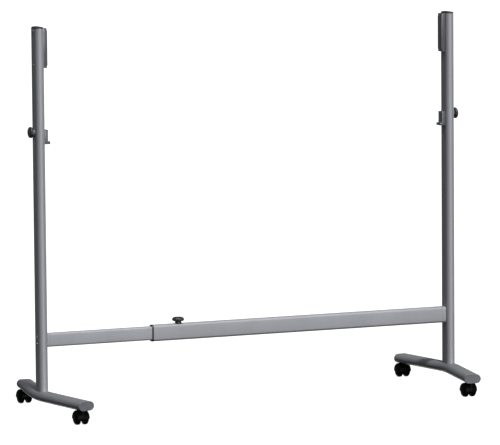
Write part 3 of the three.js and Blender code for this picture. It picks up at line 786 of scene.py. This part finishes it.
def clamp_insert(name):
    """Flanged bush in the top of the wide tube, for the clamp screw."""
    low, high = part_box("clamp_insert")
    body, flange, flange_thick, ease = 5.5 * MM, 8 * MM, 1 * MM, 0.3 * MM
    length = high.z - low.z
    seat = length - flange_thick
    profile = [(BORE, 0), (body, 0), (body, seat), (flange, seat), (flange, length - ease)]
    profile += [(flange - ease, length), (BORE, length), (BORE, 0)]
    return lathe(name, profile, ((low.x + high.x) / 2, Y0, low.z), sides=48)


def clamp_screw(name):
    """Threaded screw on a round pressure foot."""
    low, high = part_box("clamp_screw")
    foot_r, foot_high, neck_high, ease = 7 * MM, 1.8 * MM, 2.2 * MM, 0.5 * MM
    length = high.z - low.z
    profile = [(0, 0), (foot_r - ease, 0), (foot_r, ease), (foot_r, foot_high), (SHANK, foot_high)]
    profile += [*threaded(SHANK, neck_high, length - ease), (SHANK - ease, length), (0, length)]
    return lathe(name, profile, ((low.x + high.x) / 2, Y0, low.z), sides=SMALL_ROUND)


def clamp_knob(name):
    """Mushroom head on a waisted neck."""
    low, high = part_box("clamp_knob")
    centre = Vector(((low.x + high.x) / 2, Y0, low.z))
    radius, height = (high.x - low.x) / 2, high.z - low.z
    head, neck, ease, over = 18 * MM, 15 * MM, 0.8 * MM, 1 * MM
    waist, throat = neck * 0.9, neck * 0.92
    head_low = height - head
    profile = [(0, 0), (neck - ease, 0), (neck, ease), (waist, head_low * 0.8), (throat, head_low)]
    profile += mushroom(radius, head_low, head)[2:]
    knob = lathe(name, profile, centre, sides=KNOB_ROUND)
    fluted(knob, centre, Vector((0, 0, 1)), radius)
    return cut(knob, rod("bore", BORE, -over, height * SCREW_ROOM["clamp"], centre))


# ---------------------------------------------------------------- assembly

def both(part, make, slot, skin, body=None):
    """A piece for each side in place of its CAD node, drawn on the right and mirrored for the left."""
    for side in SIDES:
        node = f"{side}_{part}"
        piece = make(f"{node}_look")
        if side == "left":
            mirrored(piece)
        on(piece, body.format(side=side) if body else f"{side}_frame", slot, skin, node)


def assemble_sides():
    both("upright", upright, "frame_paint", PAINT)
    both("top_cap", top_cap, "black_plastic", BLACK)
    both("foot", foot, "foot_paint", FOOT_PAINT)
    for end, sign in ENDS.items():
        both(f"{end}_foot_cap", lambda name, s=sign: foot_cap(name, s), "grey_plastic", GREY)
    both("foot_bolt", foot_bolt, "zinc_steel", ZINC)
    both("top_bracket", top_bracket, "bracket_paint", DARK)
    for part in ("bracket", "crossbar"):
        for place in ("lower", "upper"):
            screw = f"{part}_screw_{place}"
            both(screw, lambda name, s=screw: pan_screw(name, f"right_{s}"), "zinc_steel", ZINC)
    both("ledge_bracket", ledge_bracket, "bracket_paint", DARK, "{side}_ledge")
    both("ledge_stud", ledge_stud, "zinc_steel", ZINC, "{side}_ledge")
    both("ledge_spacer", ledge_spacer, "grey_plastic", GREY, "{side}_ledge_spacer")
    both("ledge_knob", ledge_knob, "black_plastic", BLACK, "{side}_ledge_knob")


def assemble_castors():
    for side, outward in (("left", -1), ("right", 1)):
        for end in ENDS:
            castor = f"{side}_{end}_castor"
            stem, housing, axle = f"{castor}_stem", f"{castor}_housing", f"{castor}_axle"
            centre = castor_centre(side, end)
            on(castor_stem(f"{stem}_look", centre), f"{side}_frame", "zinc_steel", ZINC, stem)
            on(castor_housing(f"{housing}_look", centre), castor, "wheel_plastic", NYLON, housing)
            on(castor_axle(f"{axle}_look", centre), castor, "zinc_steel", ZINC, axle)
            for wheel, sign in (("inner", -outward), ("outer", outward)):
                node = f"{castor}_{wheel}_wheel"
                on(castor_wheel(f"{node}_look", centre, sign), node, "wheel_plastic", NYLON, node)


def assemble_crossbar():
    on(outer_bar("outer_crossbar_look"), "right_frame", "frame_paint", PAINT, "outer_crossbar")
    inner = bar_tube("inner_crossbar_look", "inner_crossbar", INNER, INNER_WALL)
    on(inner, "left_frame", "frame_paint", PAINT, "inner_crossbar")
    for side, section in (("left", INNER), ("right", OUTER)):
        node = f"{side}_crossbar_end_block"
        piece = end_block(f"{node}_look", node, section)
        if side == "left":
            mirrored(piece)
        on(piece, f"{side}_frame", "frame_paint", PAINT, node)
    on(collar("crossbar_collar_look"), "right_frame", "black_plastic", BLACK, "crossbar_collar")
    on(bar_guide("inner_crossbar_guide_look"), "left_frame", "black_plastic", BLACK, "inner_crossbar_guide")
    on(clamp_insert("clamp_insert_look"), "right_frame", "zinc_steel", ZINC, "clamp_insert")
    on(clamp_screw("clamp_screw_look"), "clamp_screw", "zinc_steel", ZINC, "clamp_screw")
    on(clamp_knob("clamp_knob_look"), "clamp_knob", "black_plastic", BLACK, "clamp_knob")


# ---------------------------------------------------------------- stage, lights and camera

def stage_material():
    """Pale floor that glows evenly, so that only a faint shadow shows on it."""
    glow = 0.96
    skin = Skin("pale_floor", 0.9, specular=0.0)
    tone = skin.mix(skin.noise(0.6, detail=2), grey(0.24), grey(0.26))
    skin.link(tone, skin.shader.inputs["Base Color"])
    skin.shader.inputs["Emission Color"].default_value = grey(1.0)
    skin.shader.inputs["Emission Strength"].default_value = glow
    return skin.material


def stage():
    reach, floor_low, floor_top = 90, -20 * MM, -0.5 * MM
    corners = [(x * reach, y * reach) for x, y in ((-1, -1), (1, -1), (1, 1), (-1, 1))]
    floor = mesh_piece("floor", [[(x, y, z) for x, y in corners] for z in (floor_low, floor_top)])
    floor.data.materials.append(stage_material())
    floor.visible_diffuse = False
    floor.visible_glossy = False
    floor.visible_shadow = False


def direction(azimuth, elevation):
    """Unit vector towards an azimuth, counted from the front towards +X, and an elevation."""
    a, e = math.radians(azimuth), math.radians(elevation)
    return Vector((math.sin(a) * math.cos(e), -math.cos(a) * math.cos(e), math.sin(e)))


def sun(name, azimuth, elevation, softness, strength):
    """Broad soft light from far away; softness is its angle in degrees."""
    lamp = bpy.data.lights.new(name, "SUN")
    lamp.angle, lamp.energy = math.radians(softness), strength
    holder = bpy.data.objects.new(name, lamp)
    holder.rotation_euler = direction(azimuth, elevation).to_track_quat("Z", "Y").to_euler()
    bpy.context.scene.collection.objects.link(holder)


def lights():
    sun("key", azimuth=-6, elevation=57, softness=7, strength=2.85)
    sun("front_fill", azimuth=2, elevation=12, softness=30, strength=1.5)
    sun("floor_bounce", azimuth=170, elevation=-35, softness=30, strength=0.8)
    sun("rear_fill", azimuth=118, elevation=12, softness=40, strength=0.8)


def surroundings():
    """Dim sky that brightens towards the top, and a soft panel behind the stand, low on the left."""
    panel_way = (-0.39, 0.91, -0.12)
    world = bpy.data.worlds.new("studio")
    world.use_nodes = True
    tree = world.node_tree
    way = tree.nodes.new("ShaderNodeTexCoord").outputs["Generated"]
    height = tree.nodes.new("ShaderNodeSeparateXYZ")
    tree.links.new(way, height.inputs["Vector"])
    sky = ranged(tree, height.outputs["Z"], 0.0, 0.95, 0.01, 0.31)
    towards = tree.nodes.new("ShaderNodeVectorMath")
    towards.operation = "DOT_PRODUCT"
    tree.links.new(way, towards.inputs[0])
    towards.inputs[1].default_value = panel_way
    panel = ranged(tree, towards.outputs["Value"], 0.87, 0.97, 0, 0.20)
    total = tree.nodes.new("ShaderNodeMath")
    tree.links.new(sky, total.inputs[0])
    tree.links.new(panel, total.inputs[1])
    background = tree.nodes["Background"]
    tree.links.new(total.outputs["Value"], background.inputs["Strength"])
    background.inputs["Color"].default_value = (0.93, 0.96, 1.0, 1)
    bpy.context.scene.world = world


def camera():
    """Long lens far away, to the left of the front and a little above the middle of the stand."""
    azimuth, elevation, roll = -23.04, 6.36, math.radians(-0.48)
    target = Vector((0.0114, Y0, 0.7869))
    distance, focal, sensor, far = 20.8, 342.1, 36, 400
    back = direction(azimuth, elevation)
    lens = bpy.data.cameras.new("camera")
    lens.lens, lens.sensor_width, lens.sensor_fit = focal, sensor, "HORIZONTAL"
    lens.clip_end = far
    holder = bpy.data.objects.new("camera", lens)
    turned = back.to_track_quat("Z", "Y").to_matrix().to_4x4() @ Matrix.Rotation(roll, 4, "Z")
    holder.matrix_world = Matrix.Translation(target + back * distance) @ turned
    bpy.context.scene.collection.objects.link(holder)
    bpy.context.scene.camera = holder


bpy.context.scene.view_settings.view_transform = "Standard"
camera()
lights()
surroundings()
stage()
assemble_sides()
assemble_castors()
assemble_crossbar()
